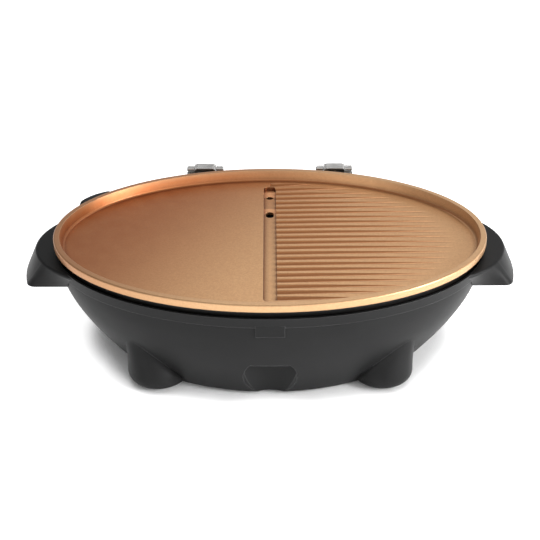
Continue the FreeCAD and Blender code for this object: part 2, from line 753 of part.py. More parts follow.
def handle_outline(inset, top, bottom):
    """The level outlines of the right handle: the elliptic crease above and the bowed skirt below."""
    crease = Part.Ellipse(FreeCAD.Vector(0, 0, top), mm.crease_length / 2 - inset,
                          mm.crease_width / 2 - inset)
    side = mm.handle_span / 2 - inset
    corner = mm.handle_corner - inset
    bow = mm.handle_end_radius - inset
    bow_middle = FreeCAD.Vector(mm.handle_length / 2 - mm.handle_end_radius, 0, bottom)
    corner_side = side - corner
    corner_end = math.sqrt((bow - corner) ** 2 - corner_side ** 2)
    lean = math.atan2(corner_side, corner_end)
    turns = [math.asin(reach / crease.MinorRadius) for reach in (bow * math.sin(lean), side)]
    turns.append(math.acos(mm.handle_root / crease.MajorRadius))
    stops = [-turn for turn in reversed(turns)] + turns
    upper = [Part.ArcOfEllipse(crease, first, last).toShape() for first, last in zip(stops, stops[1:])]
    upper.append(Part.LineSegment(upper[-1].lastVertex().Point, upper[0].firstVertex().Point).toShape())

    def around(middle, radius, *angles):
        points = [middle + FreeCAD.Vector(radius * math.cos(angle), radius * math.sin(angle), 0)
                  for angle in angles]
        return Part.Arc(*points).toShape()

    square = math.pi / 2
    front_middle = bow_middle + FreeCAD.Vector(corner_end, -corner_side, 0)
    back_middle = bow_middle + FreeCAD.Vector(corner_end, corner_side, 0)
    front = around(front_middle, corner, -square, -(square + lean) / 2, -lean)
    back = around(back_middle, corner, lean, (square + lean) / 2, square)
    front_root = FreeCAD.Vector(mm.handle_root, -side, bottom)
    back_root = FreeCAD.Vector(mm.handle_root, side, bottom)
    lower = [
        Part.LineSegment(front_root, front.firstVertex().Point).toShape(),
        front,
        around(bow_middle, bow, -lean, 0, lean),
        back,
        Part.LineSegment(back.lastVertex().Point, back_root).toShape(),
        Part.LineSegment(back_root, front_root).toShape(),
    ]
    return [Part.Wire(upper), Part.Wire(lower)]


def handle_shells():
    """The two handles: drooping wings, hollow below for the fingers."""
    outer = Part.makeLoft(handle_outline(0, mm.rim_top, mm.handle_bottom), True, True)
    inner = Part.makeLoft(handle_outline(mm.handle_wall, mm.rim_top - mm.handle_wall,
                                         mm.handle_bottom - mm.overrun), True, True)
    outer = solid_feature("handle_outer", outer)
    outer = round_edges("handle_round", outer, lambda edge: is_level(edge, mm.rim_top)
                        and edge.Curve.TypeId != "Part::GeomLine" and mm.handle_edge_radius)
    right = cut("handle_right", outer, solid_feature("handle_inner", inner))
    left = doc.addObject("Part::Mirroring", "handle_left")
    left.Source = right
    left.Normal = FreeCAD.Vector(1, 0, 0)
    return [right, left]


def rim_frame():
    """The base's top ring: band, inner lip, handles, front tab and the lugs for the hinges."""
    band = ellipse_solid("band_outer", inset_ring("rim", "band_draft", BOWL_TOP),
                         inset_ring("rim", "0", "rim_top"))
    space = ellipse_solid("band_space", inset_ring("rim", "rim_wall + band_draft", LIP_TOP),
                          inset_ring("rim", "rim_wall", "rim_top"))
    mouth_inset = "rim_wall + band_draft + lip_width"
    mouth = ellipse_solid("lip_mouth", inset_ring("rim", mouth_inset, f"{BOWL_TOP} - overrun"),
                          inset_ring("rim", mouth_inset, f"{LIP_TOP} + overrun"))
    band = cut("band", band, fuse("band_hollow", space, mouth))
    core = ellipse_solid("band_core", inset_ring("rim", "rim_wall + band_draft", BOWL_TOP),
                         inset_ring("rim", "rim_wall", "rim_top"))
    keep_out = fuse("rim_keep_out", core, bowl_solid("bowl_clear", "-body_clearance", "bowl_base"))
    added = handle_shells()
    added.append(middle_box("tab", "tab_width", "tab_root + tab_thickness", "tab_drop + lip_thickness",
                            y="-bowl_top_width / 2 - tab_thickness + (tab_root + tab_thickness) / 2",
                            z=f"{BOWL_TOP} - tab_drop"))
    tools = [socket_notch("rim_notch")]
    for name, side in SIDES:
        middle = f"{side} * hinge_place"
        added.append(box(f"lug_{name}", "lug_width", "lug_root + hinge_setback + lug_tail", "band_height",
                         f"{middle} - lug_width / 2", "rim_width / 2 - lug_root", BOWL_TOP))
        tools.append(box(f"lug_{name}_pocket", "lug_width - 2 * lug_wall",
                         "hinge_setback + lug_tail - lug_wall",
                         "band_height - lug_wall + overrun", f"{middle} - lug_width / 2 + lug_wall",
                         "rim_width / 2", f"{BOWL_TOP} - overrun"))
    added = cut("rim_added", fuse("rim_added_blank", *added), keep_out)
    for name, x, y in rim_screw_places():
        tools.append(cylinder(f"rim_hole_{name}", HOLE_RADIUS, "lip_thickness + 2 * overrun", x, y,
                              f"{BOWL_TOP} - overrun"))
    frame = cut("rim_cut", fuse("rim_whole", band, added), group("rim_tools", tools))
    holes = [cylinder(f"rim_{name}", HOLE_RADIUS, "lug_wall + 2 * overrun", x, y,
                      "rim_top - lug_wall - overrun")
             for name, x, y in hinge_screw_places()]
    node("rim_frame", cut("rim", frame, group("rim_hinge_holes", holes)))


def rim_screws():
    """The screws down through pan and rim frame into the bowl's bosses."""
    screws = [place(screw(f"rim_screw_{name}", "rim_screw_length"), x, y, PAN_TOP)
              for name, x, y in rim_screw_places()]
    node("rim_screws", group("rim_screw_set", screws))


def post_places():
    """The four posts that carry the plate."""
    for name, side, end in corners():
        yield name, f"{side} * post_place_side", f"{end} * post_place_end"


def reflector_pan():
    """The enamelled pan under the plate, hung by its flange on the rim frame's lip."""
    flange = ellipse_solid("pan_flange", inset_ring("rim", "pan_flange_inset", LIP_TOP),
                           inset_ring("rim", "pan_flange_inset", PAN_TOP))
    tub = ellipse_solid("pan_tub", inset_ring("rim", "pan_floor_inset", "pan_floor - pan_sheet"),
                        inset_ring("rim", "pan_wall_inset", PAN_TOP))
    space = ellipse_solid("pan_space", inset_ring("rim", "pan_floor_inset + pan_sheet", "pan_floor"),
                          inset_ring("rim", "pan_wall_inset + pan_sheet", PAN_TOP))
    pan = cut("pan_shell", fuse("pan_blank", flange, tub), space)
    length = "chute_back - chute_front + 2 * body_clearance"
    tools = [socket_notch("pan_notch")]
    tools.append(middle_box("pan_drain", "chute_width + 2 * body_clearance", length,
                            "pan_sheet + 2 * overrun",
                            y="(chute_front + chute_back) / 2", z="pan_floor - pan_sheet - overrun"))
    for name, x, y in post_places():
        tools.append(cylinder(f"pan_post_{name}", HOLE_RADIUS, "pan_sheet + 2 * overrun", x, y,
                              "pan_floor - pan_sheet - overrun"))
    for name, x, y in rim_screw_places():
        tools.append(cylinder(f"pan_rim_{name}", HOLE_RADIUS, "pan_sheet + 2 * overrun", x, y,
                              f"{LIP_TOP} - overrun"))
    node("reflector_pan", cut("pan", pan, group("pan_tools", tools)))


def drain_chute():
    """The spout that hangs in the pan's opening and leads the fat to the drawer."""
    middle = "(chute_front + chute_back) / 2"
    length = "(chute_back - chute_front)"
    spout = middle_box("chute_spout", "chute_width", length, "pan_floor + pan_sheet - chute_bottom",
                       y=middle, z="chute_bottom")
    flange = middle_box("chute_flange_sheet", "chute_width + 2 * chute_flange",
                        f"{length} + 2 * chute_flange", "pan_sheet", y=middle, z="pan_floor")
    hollow = middle_box("chute_hollow", "chute_width - 2 * pan_sheet", f"{length} - 2 * pan_sheet",
                        "pan_floor + pan_sheet - chute_bottom + 2 * overrun", y=middle,
                        z="chute_bottom - overrun")
    node("drain_chute", cut("chute", fuse("chute_blank", spout, flange), hollow))


def plate_posts():
    """Posts screwed to the pan, whose tops the plate rests on."""
    posts = []
    screws = []
    for name, x, y in post_places():
        post = cylinder(f"post_{name}_blank", "post_diameter / 2", f"{UNDERSIDE} - pan_floor", x, y,
                        "pan_floor")
        hole = cylinder(f"post_{name}_hole", HOLE_RADIUS, "post_screw_length + overrun", x, y,
                        "pan_floor - overrun")
        posts.append(cut(f"post_{name}", post, hole))
        screws.append(place(screw(f"post_screw_{name}", "post_screw_length"), x, y, "pan_floor - pan_sheet",
                            UPSIDE_DOWN))
    node("plate_posts", group("posts", posts))
    node("post_screws", group("post_screw_set", screws))


def drip_drawer():
    """The fat drawer: a long tray with a scooped front that fills the bowl's opening."""
    front = common("drawer_front_blank", bowl_solid("drawer_face", "0", "bowl_base"),
                   scoop_prism("drawer_outline", "drawer_gap"))
    hollow = cylinder("drawer_scoop", "scoop_hollow_radius", "scoop_flat - scoop_margin",
                      y="-bowl_base_width / 2 + scoop_bite - scoop_hollow_radius")
    front = cut("drawer_front", front, hollow)
    tray = middle_box("drawer_tray", "drawer_width", f"drawer_back - {DRAWER_FRONT}", "drawer_height",
                      y=f"(drawer_back + {DRAWER_FRONT}) / 2", z="drawer_bottom")
    inside_front = "(-bowl_base_width / 2 + scoop_bite + drawer_front_wall)"
    inside_back = "(drawer_back - drawer_wall)"
    inside = middle_box("drawer_inside", "drawer_width - 2 * drawer_wall",
                        f"{inside_back} - {inside_front}",
                        "drawer_height + scoop_flat", y=f"({inside_back} + {inside_front}) / 2",
                        z="drawer_bottom + drawer_wall")
    node("drip_drawer", cut("drawer", fuse("drawer_blank", front, tray), inside))


def rail_screw_places():
    """Two screws in each rail."""
    for side_name, side in SIDES:
        yield f"{side_name}_front", f"{side} * rail_screw_place", "-rail_front + rail_screw_inset"
        yield f"{side_name}_back", f"{side} * rail_screw_place", "-rail_front + rail_length - rail_screw_inset"


def drawer_rails():
    """Two rails on the bowl's floor that carry and guide the drawer."""
    places = list(rail_screw_places())
    for name, side in SIDES:
        foot_middle = f"{side} * (rail_foot_inner + rail_foot_outer) / 2"
        foot = middle_box(f"rail_{name}_foot", "rail_foot_outer - rail_foot_inner", "rail_length",
                          f"drawer_bottom - {BOWL_FLOOR}", foot_middle, "rail_length / 2 - rail_front",
                          BOWL_FLOOR)
        guide_middle = f"{side} * (drawer_width / 2 + drawer_gap + rail_guide_thickness / 2)"
        guide = middle_box(f"rail_{name}_guide", "rail_guide_thickness", "rail_length", "rail_guide_height",
                           guide_middle, "rail_length / 2 - rail_front", "drawer_bottom")
        holes = [cylinder(f"rail_hole_{hole}", HOLE_RADIUS, "drawer_bottom", x, y, "bowl_base")
                 for hole, x, y in places if hole.startswith(name)]
        rail = cut(f"rail_{name}", fuse(f"rail_{name}_blank", foot, guide),
                   group(f"rail_{name}_holes", holes))
        node(f"drawer_rail_{name}", rail)
    screws = [place(screw(f"rail_screw_{name}", "rail_screw_length"), x, y, "drawer_bottom")
              for name, x, y in places]
    node("rail_screws", group("rail_screw_set", screws))


def hinge_screw_places():
    """Two screws in each hinge bracket."""
    for name, side in SIDES:
        for part, sign in SIDES:
            x = f"{side} * hinge_place + {sign} * hinge_screw_place"
            yield f"hinge_{name}_{part}", x, f"{PIN_PLACE} - hinge_screw_front"


def hinge(name, side):
    """One hinge: a bracket with two knuckles, its pin, and the hat-shaped leaf for the lid's tongue."""
    middle = f"{side} * hinge_place"
    knuckle_width = "(hinge_width / 2 - leaf_width / 2 - leaf_side_gap)"
    bore_start = f"{middle} - hinge_width / 2 - overrun"
    sheet_plate = middle_box(f"hinge_{name}_plate", "hinge_width", "hinge_front + hinge_back",
                             "hinge_sheet", middle,
                             f"{PIN_PLACE} + (hinge_back - hinge_front) / 2", "rim_top")
    pieces = [sheet_plate]
    for part, sign in SIDES:
        start = f"{middle} + {sign} * (hinge_width / 2 - {knuckle_width} / 2) - {knuckle_width} / 2"
        pieces.append(cylinder(f"hinge_{name}_{part}_knuckle", "knuckle_radius", knuckle_width, start,
                               PIN_PLACE, "hinge_pin_height", ALONG_X))
        pieces.append(box(f"hinge_{name}_{part}_web", knuckle_width, "hinge_sheet",
                          "hinge_pin_height - rim_top",
                          start, f"{PIN_PLACE} + knuckle_radius - hinge_sheet", "rim_top"))
    tools = [cylinder(f"hinge_{name}_bore", "pin_diameter / 2 + fit_clearance", "hinge_width + 2 * overrun",
                      bore_start, PIN_PLACE, "hinge_pin_height", ALONG_X)]
    for hole, x, y in hinge_screw_places():
        if hole.startswith(f"hinge_{name}"):
            tools.append(cylinder(f"{hole}_hole", HOLE_RADIUS, "hinge_sheet + 2 * overrun", x, y,
                                  "rim_top - overrun"))
    bracket = cut(f"hinge_{name}_bracket", fuse(f"hinge_{name}_blank", *pieces),
                  group(f"hinge_{name}_tools", tools))
    node(f"hinge_base_{name}", bracket)

    shank = cylinder(f"pin_{name}_shank", "pin_diameter / 2", "hinge_width", f"{middle} - hinge_width / 2",
                     PIN_PLACE, "hinge_pin_height", ALONG_X)
    left_head = cylinder(f"pin_{name}_left_head", "pin_head_diameter / 2", "pin_head",
                         f"{middle} - hinge_width / 2 - pin_head", PIN_PLACE, "hinge_pin_height", ALONG_X)
    right_head = cylinder(f"pin_{name}_right_head", "pin_head_diameter / 2", "pin_head",
                          f"{middle} + hinge_width / 2", PIN_PLACE, "hinge_pin_height", ALONG_X)
    node(f"hinge_pin_{name}", fuse(f"pin_{name}", shank, left_head, right_head))

    leaf_bottom = "(hinge_pin_height - leaf_radius)"
    hat = middle_box(f"leaf_{name}_blank", "leaf_width", "hinge_front + leaf_tail",
                     f"leaf_top - {leaf_bottom}", middle,
                     f"{PIN_PLACE} + (leaf_tail - hinge_front) / 2", leaf_bottom)
    hat = round_edges(f"leaf_{name}_hat", hat, lambda edge: runs_along(edge, "y")
                      and is_level(edge, mm.leaf_top) and mm.leaf_corner)
    barrel = cylinder(f"leaf_{name}_barrel", "leaf_radius", "leaf_width", f"{middle} - leaf_width / 2",
                      PIN_PLACE, "hinge_pin_height", ALONG_X)
    slot = middle_box(f"leaf_{name}_slot", "lid_slot_width", "lid_slot_depth + overrun", "lid_slot_height",
                      middle, f"{PIN_PLACE} - hinge_front + (lid_slot_depth - overrun) / 2",
                      f"{leaf_bottom} + lid_slot_lift")
    bore = cylinder(f"leaf_{name}_bore", "pin_diameter / 2 + pin_clearance", "hinge_width + 2 * overrun",
                    bore_start, PIN_PLACE, "hinge_pin_height", ALONG_X)
    leaf = cut(f"leaf_{name}", fuse(f"leaf_{name}_solid", hat, barrel),
               group(f"leaf_{name}_tools", [slot, bore]))
    node(f"hinge_leaf_{name}", leaf)


def hinge_screws():
    """The screws down through the brackets into the rim frame's lugs."""
    screws = [place(screw(f"{name}_screw", "hinge_screw_length"), x, y, HINGE_TOP)
              for name, x, y in hinge_screw_places()]
    node("hinge_screws", group("hinge_screw_set", screws))


def write_parts():
    """Check every object and write each sub-part to its own file."""
    doc.recompute()
    failed = [item.Name for item in doc.Objects if {"Invalid", "Error"} & set(item.State)]
    failed += [item.Label for item in NODES if item.Shape.isNull() or not item.Shape.isValid()]
    if failed:
        raise RuntimeError(f"failed objects: {failed}")
    os.makedirs("parts", exist_ok=True)
    for item in NODES:
        item.Shape.exportStep(f"parts/{item.Label}.step")
        print(item.Label, len(item.Shape.Solids), round(item.Shape.Volume))


grill_plate()
heating_element()
element_clamps()
thermostat_inlet()
reflector_pan()
drain_chute()
plate_posts()
rim_frame()
rim_screws()
bowl()
foot_pads()
drip_drawer()
drawer_rails()
for hinge_name, hinge_side in SIDES:
    hinge(hinge_name, hinge_side)
hinge_screws()
write_parts()
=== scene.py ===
import bpy
import json
import math
from mathutils import Matrix, Vector

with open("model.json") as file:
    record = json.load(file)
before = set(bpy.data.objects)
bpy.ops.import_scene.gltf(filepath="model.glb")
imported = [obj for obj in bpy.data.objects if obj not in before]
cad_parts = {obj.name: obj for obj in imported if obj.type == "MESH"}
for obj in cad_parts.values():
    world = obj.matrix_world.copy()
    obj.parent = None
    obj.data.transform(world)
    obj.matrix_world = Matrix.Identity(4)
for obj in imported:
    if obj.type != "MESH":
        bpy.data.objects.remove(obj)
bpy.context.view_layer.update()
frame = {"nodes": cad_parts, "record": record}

scene = bpy.context.scene
nodes = frame["nodes"]

# The plate's oval inside its outer edge, its middle and the height below which it is primed black, painted
# near-black as shade, in metres
PLATE_HALF_LENGTH = 0.223
PLATE_HALF_WIDTH = 0.142
PLATE_MIDDLE_Y = -0.01125
PRIMER_TOP = 0.1164
PRIMER_FADE = 0.0004
# The feet: where they start beside the middle, how high their roots reach, and the softened radius there
FOOT_INNER = 0.045
FOOT_BESIDE = 0.07
FOOT_TOP = 0.088
FOOT_ROOT = 0.07
FOOT_BLEND = 0.009
PLASTIC_EDGE = 0.0012
# The studio and the camera
FLOOR_HALF = 9.0
LIGHT_AIM = Vector((0.0, 0.0, 0.10))
CAMERA_PLACE = (0.0, -1.14525, 0.757)
CAMERA_TILT = 59.0
CAMERA_ROLL = -0.18
LENS_ANGLE = 24.99


# Node helpers

def add(tree, kind, **values):
    """A shader node with some of its properties and input sockets set."""
    made = tree.nodes.new(kind)
    for key, value in values.items():
        if key in made.inputs:
            made.inputs[key].default_value = value
        else:
            setattr(made, key, value)
    return made


def join(tree, source, target):
    tree.links.new(source, target)


def math_node(tree, operation, first, second=0.0, clamp=False):
    """A Math node; each operand is a socket or a number."""
    made = add(tree, "ShaderNodeMath", operation=operation, use_clamp=clamp)
    for place, value in enumerate((first, second)):
        if hasattr(value, "links"):
            join(tree, value, made.inputs[place])
        else:
            made.inputs[place].default_value = value
    return made.outputs[0]


def ramp(tree, source, low, high, to_low=0.0, to_high=1.0, smooth=True):
    """A value remapped from low..high to to_low..to_high."""
    kind = "SMOOTHSTEP" if smooth else "LINEAR"
    made = add(tree, "ShaderNodeMapRange", clamp=True, interpolation_type=kind)
    join(tree, source, made.inputs["Value"])
    made.inputs["From Min"].default_value = low
    made.inputs["From Max"].default_value = high
    made.inputs["To Min"].default_value = to_low
    made.inputs["To Max"].default_value = to_high
    return made.outputs["Result"]


def mix_colour(tree, factor, first, second):
    """A colour mix; each colour is a socket or an RGB tuple."""
    made = add(tree, "ShaderNodeMix", data_type="RGBA")
    if hasattr(factor, "links"):
        join(tree, factor, made.inputs[0])
    else:
        made.inputs[0].default_value = factor
    for place, value in ((6, first), (7, second)):
        if hasattr(value, "links"):
            join(tree, value, made.inputs[place])
        else:
            made.inputs[place].default_value = (*value, 1.0)
    return made.outputs[2]


def noise(tree, place, scale, detail=4.0, rough=0.55, stretch=None):
    """Noise in row-frame metres; stretch squeezes an axis to make streaks."""
    if stretch:
        mapping = add(tree, "ShaderNodeMapping", Scale=stretch)
        join(tree, place, mapping.inputs["Vector"])
        place = mapping.outputs[0]
    made = add(tree, "ShaderNodeTexNoise", Scale=scale, Detail=detail, Roughness=rough)
    join(tree, place, made.inputs["Vector"])
    return made.outputs["Fac"]


def start(name):
    """A new material: its tree, its Principled shader and row-frame coordinates."""
    material = bpy.data.materials.new(name)
    material.use_nodes = True
    tree = material.node_tree
    shader = tree.nodes["Principled BSDF"]
    place = add(tree, "ShaderNodeTexCoord").outputs["Object"]
    return material, tree, shader, place


def split(tree, source):
    """The X, Y and Z of a vector socket."""
    made = add(tree, "ShaderNodeSeparateXYZ")
    join(tree, source, made.inputs[0])
    return made.outputs["X"], made.outputs["Y"], made.outputs["Z"]


def cells(tree, place, scale):
    """Voronoi cells: the distance to each one's middle, and two random values for each one."""
    made = add(tree, "ShaderNodeTexVoronoi", Scale=scale)
    join(tree, place, made.inputs["Vector"])
    colour = add(tree, "ShaderNodeSeparateColor")
    join(tree, made.outputs["Color"], colour.inputs[0])
    return made.outputs["Distance"], colour.outputs[0], colour.outputs[1]


def edge_mask(tree, radius):
    """How far the surface turns within a radius, 0 on a flat and 1 on an edge, and the rounded normal."""
    bevel = add(tree, "ShaderNodeBevel", samples=4, Radius=radius)
    geometry = add(tree, "ShaderNodeNewGeometry")
    dot = add(tree, "ShaderNodeVectorMath", operation="DOT_PRODUCT")
    join(tree, bevel.outputs[0], dot.inputs[0])
    join(tree, geometry.outputs["Normal"], dot.inputs[1])
    return ramp(tree, dot.outputs["Value"], 0.995, 0.86), bevel.outputs[0]


def bump(tree, height, distance, strength=1.0, normal=None):
    made = add(tree, "ShaderNodeBump", Strength=strength, Distance=distance)
    join(tree, height, made.inputs["Height"])
    if normal:
        join(tree, normal, made.inputs["Normal"])
    return made.outputs[0]


# Materials

def copper_coating():
    """Cast plate: copper non-stick coat with fine metal flake, a painted light gradient, painted shade in
    corners and on the ridges' sloping sides, painted highlights on ridge tops, edges and the outer rim, and a
    black primer on the underside, painted near-black as shade.
    """
    material, tree, shader, place = start("copper_coating")
    flake, glint = cells(tree, place, 850.0)[1:]
    x, y, z = split(tree, place)
    face_y, face_z = split(tree, add(tree, "ShaderNodeNewGeometry").outputs["Normal"])[1:]
    mottle = noise(tree, place, 60.0, 6.0)
    # Painted light: the coat is darker towards the back left and lighter towards the front right, as the
    # light falls on it.
    tone_drift = math_node(tree, "SUBTRACT", x, math_node(tree, "MULTIPLY", y, 0.6))
    colour = mix_colour(tree, ramp(tree, tone_drift, -0.19, 0.06), (0.40, 0.138, 0.044), (0.69, 0.405, 0.200))
    colour = mix_colour(tree, ramp(tree, mottle, 0.3, 0.7, 0.0, 0.12), colour, (0.60, 0.33, 0.16))
    flaked = ramp(tree, flake, 0.0, 1.0, 0.0, 0.22, False)
    colour = mix_colour(tree, flaked, colour, (0.30, 0.115, 0.045))
    edge, rounded = edge_mask(tree, 0.0007)
    # Painted shade: the coat darkens in corners and creases where ambient occlusion finds them closed in.
    corner_shade_ao = add(tree, "ShaderNodeAmbientOcclusion", samples=6, Distance=0.007).outputs["AO"]
    colour = mix_colour(tree, ramp(tree, corner_shade_ao, 0.96, 0.60, 0.0, 0.85), colour, (0.13, 0.032, 0.008))
    # Painted highlight: a pale line along ridge tops and edges, kept out of closed corners.
    painted_crest_highlight = math_node(tree, "MULTIPLY", edge, ramp(tree, corner_shade_ao, 0.78, 0.95, 0.0, 0.45))
    colour = mix_colour(tree, painted_crest_highlight, colour, (0.95, 0.72, 0.48))
    across = math_node(tree, "POWER", math_node(tree, "DIVIDE", x, PLATE_HALF_LENGTH), 2.0)
    from_middle = math_node(tree, "SUBTRACT", y, PLATE_MIDDLE_Y)
    along = math_node(tree, "POWER", math_node(tree, "DIVIDE", from_middle, PLATE_HALF_WIDTH), 2.0)
    outside = ramp(tree, math_node(tree, "ADD", across, along), 0.99, 1.01)
    hidden = math_node(tree, "MAXIMUM", outside, ramp(tree, face_z, -0.2, -0.4))
    # Painted highlight: the outer rim and wall outside the plate's oval are lightened all round.
    painted_rim_highlight = math_node(tree, "MULTIPLY", outside, 0.3)
    colour = mix_colour(tree, painted_rim_highlight, colour, (0.62, 0.42, 0.24))
    # Painted shade: the sloping sides of the ridges are darkened.
    flank_shade_slope = ramp(tree, math_node(tree, "ABSOLUTE", face_y), 0.06, 0.30, 0.0, 0.72)
    shallow = math_node(tree, "SUBTRACT", ramp(tree, face_z, 0.35, 0.60), outside, True)
    painted_flank_shade = math_node(tree, "MULTIPLY", flank_shade_slope, shallow)
    colour = mix_colour(tree, painted_flank_shade, colour, (0.40, 0.145, 0.050))
    # Under the primer line the downward faces and the outer wall are black primer, painted near-black as
    # shade for the gap under the plate.
    low = ramp(tree, z, PRIMER_TOP + PRIMER_FADE, PRIMER_TOP)
    above = math_node(tree, "SUBTRACT", 1.0, math_node(tree, "MULTIPLY", hidden, low))
    soot = noise(tree, place, 35.0, 4.0)
    below = mix_colour(tree, ramp(tree, soot, 0.4, 0.7), (0.002, 0.002, 0.002), (0.006, 0.005, 0.004))
    join(tree, mix_colour(tree, above, below, colour), shader.inputs["Base Color"])
    rough = math_node(tree, "ADD", ramp(tree, mottle, 0.25, 0.75, 0.38, 0.44),
                      ramp(tree, glint, 0.0, 1.0, -0.04, 0.04, False))
    join(tree, rough, shader.inputs["Roughness"])
    join(tree, math_node(tree, "MULTIPLY", above, 0.85), shader.inputs["Metallic"])
    shader.inputs["Specular IOR Level"].default_value = 0.3
    shader.inputs["Coat Weight"].default_value = 0.22
    shader.inputs["Coat Roughness"].default_value = 0.25
    grain = noise(tree, place, 1400.0, 3.0)
    join(tree, bump(tree, grain, 0.00005, 0.4, rounded), shader.inputs["Normal"])
    return material


def moulded_plastic(name, dark, light, edge_wear_and_highlight, rough_low, rough_high, gloss, blend=0.0):
    """Moulded plastic: fine grain, faint flow clouds, edges lightened as wear and as a painted highlight;
    blend softens the feet's roots.
    """
    material, tree, shader, place = start(name)
    cloud = noise(tree, place, 14.0, 5.0)
    flow = noise(tree, place, 30.0, 3.0, stretch=(0.35, 1.0, 3.0))
    grain = noise(tree, place, 1700.0, 4.0, 0.65)
    colour = mix_colour(tree, ramp(tree, cloud, 0.3, 0.7), dark, light)
    colour = mix_colour(tree, ramp(tree, flow, 0.45, 0.75, 0.0, 0.25), colour, light)
    edge, rounded = edge_mask(tree, PLASTIC_EDGE)
    # Edges lighten as wear and as a painted highlight.
    colour = mix_colour(tree, math_node(tree, "MULTIPLY", edge, 0.7), colour, edge_wear_and_highlight)
    join(tree, colour, shader.inputs["Base Color"])
    rough = ramp(tree, cloud, 0.25, 0.75, rough_low, rough_high)
    rough = math_node(tree, "SUBTRACT", rough, math_node(tree, "MULTIPLY", edge, 0.08))
    join(tree, rough, shader.inputs["Roughness"])
    shader.inputs["Specular IOR Level"].default_value = gloss
    if blend:
        x, _, z = split(tree, place)
        beside = ramp(tree, math_node(tree, "ABSOLUTE", x), FOOT_INNER, FOOT_BESIDE, 0.0, blend)
        low = ramp(tree, z, FOOT_TOP, FOOT_ROOT)
        radius = math_node(tree, "ADD", math_node(tree, "MULTIPLY", beside, low), PLASTIC_EDGE)
        wide = add(tree, "ShaderNodeBevel", samples=8)
        join(tree, radius, wide.inputs["Radius"])
        rounded = wide.outputs[0]
    join(tree, bump(tree, grain, 0.00006, 0.4, rounded), shader.inputs["Normal"])
    return material


def enamel():
    """Glossy black pan enamel with orange peel, fine pinholes and a brown cast where it has been hot."""
    material, tree, shader, place = start("black_enamel")
    peel = noise(tree, place, 220.0, 2.0)
    tone_drift = noise(tree, place, 9.0, 4.0)
    colour = mix_colour(tree, ramp(tree, tone_drift, 0.45, 0.75), (0.003, 0.003, 0.0035), (0.010, 0.007, 0.005))
    pore = cells(tree, place, 260.0)[0]
    colour = mix_colour(tree, ramp(tree, pore, 0.10, 0.02, 0.0, 0.5), colour, (0.05, 0.05, 0.05))
    join(tree, colour, shader.inputs["Base Color"])
    join(tree, ramp(tree, tone_drift, 0.3, 0.7, 0.14, 0.26), shader.inputs["Roughness"])
    shader.inputs["Specular IOR Level"].default_value = 0.2
    join(tree, bump(tree, peel, 0.0002, 0.2), shader.inputs["Normal"])
    return material


def brushed_steel():
    """Stamped stainless sheet brushed along its length, with rolled edges."""
    material, tree, shader, place = start("stainless")
    lines = noise(tree, place, 900.0, 3.0, 0.7, stretch=(0.03, 1.0, 1.0))
    smudge = noise(tree, place, 60.0, 4.0)
    colour = mix_colour(tree, ramp(tree, lines, 0.3, 0.7), (0.56, 0.55, 0.535), (0.76, 0.75, 0.735))
    colour = mix_colour(tree, ramp(tree, smudge, 0.45, 0.8, 0.0, 0.5), colour, (0.20, 0.19, 0.18))
    edge, rounded = edge_mask(tree, 0.0005)
    colour = mix_colour(tree, math_node(tree, "MULTIPLY", edge, 0.5), colour, (0.66, 0.655, 0.64))
    join(tree, colour, shader.inputs["Base Color"])
    shader.inputs["Metallic"].default_value = 1.0
    shader.inputs["Anisotropic"].default_value = 0.5
    join(tree, ramp(tree, lines, 0.25, 0.75, 0.20, 0.36), shader.inputs["Roughness"])
    join(tree, bump(tree, lines, 0.00005, 0.4, rounded), shader.inputs["Normal"])
    return material


def plated_steel():
    """Zinc-plated screws and pins: pale crystals, a faint warm passivation and tool rub."""
    material, tree, shader, place = start("steel")
    crystal = cells(tree, place, 1500.0)[1]
    warm = noise(tree, place, 120.0, 3.0)
    colour = mix_colour(tree, crystal, (0.48, 0.49, 0.50), (0.62, 0.63, 0.64))
    colour = mix_colour(tree, ramp(tree, warm, 0.5, 0.8, 0.0, 0.6), colour, (0.58, 0.53, 0.42))
    join(tree, colour, shader.inputs["Base Color"])
    shader.inputs["Metallic"].default_value = 1.0
    join(tree, ramp(tree, warm, 0.3, 0.7, 0.24, 0.42), shader.inputs["Roughness"])
    edge, rounded = edge_mask(tree, 0.0003)
    join(tree, bump(tree, warm, 0.00008, 0.3, rounded), shader.inputs["Normal"])
    return material


def heater_sheath():
    """Drawn heater tube, oxidised dark with straw and blue temper tints."""
    material, tree, shader, place = start("heater_sheath")
    tint = noise(tree, place, 24.0, 5.0)
    drawn = noise(tree, place, 700.0, 3.0, 0.6, stretch=(0.2, 0.2, 1.0))
    colour = mix_colour(tree, ramp(tree, tint, 0.35, 0.55), (0.055, 0.050, 0.047), (0.105, 0.075, 0.050))
    colour = mix_colour(tree, ramp(tree, tint, 0.58, 0.75, 0.0, 0.7), colour, (0.050, 0.058, 0.080))
    join(tree, colour, shader.inputs["Base Color"])
    shader.inputs["Metallic"].default_value = 0.7
    join(tree, ramp(tree, drawn, 0.25, 0.75, 0.42, 0.62), shader.inputs["Roughness"])
    join(tree, bump(tree, drawn, 0.00008, 0.4), shader.inputs["Normal"])
    return material


def turned_brass():
    """Turned brass socket, dulled in the hollows."""
    material, tree, shader, place = start("brass")
    rings = noise(tree, place, 1300.0, 2.0, 0.5, stretch=(1.0, 1.0, 0.15))
    dull = noise(tree, place, 140.0, 4.0)
    colour = mix_colour(tree, ramp(tree, dull, 0.35, 0.7), (0.72, 0.50, 0.19), (0.40, 0.25, 0.10))
    join(tree, colour, shader.inputs["Base Color"])
    shader.inputs["Metallic"].default_value = 1.0
    join(tree, ramp(tree, rings, 0.3, 0.7, 0.24, 0.40), shader.inputs["Roughness"])
    edge, rounded = edge_mask(tree, 0.0003)
    join(tree, bump(tree, rings, 0.00004, 0.3, rounded), shader.inputs["Normal"])
    return material


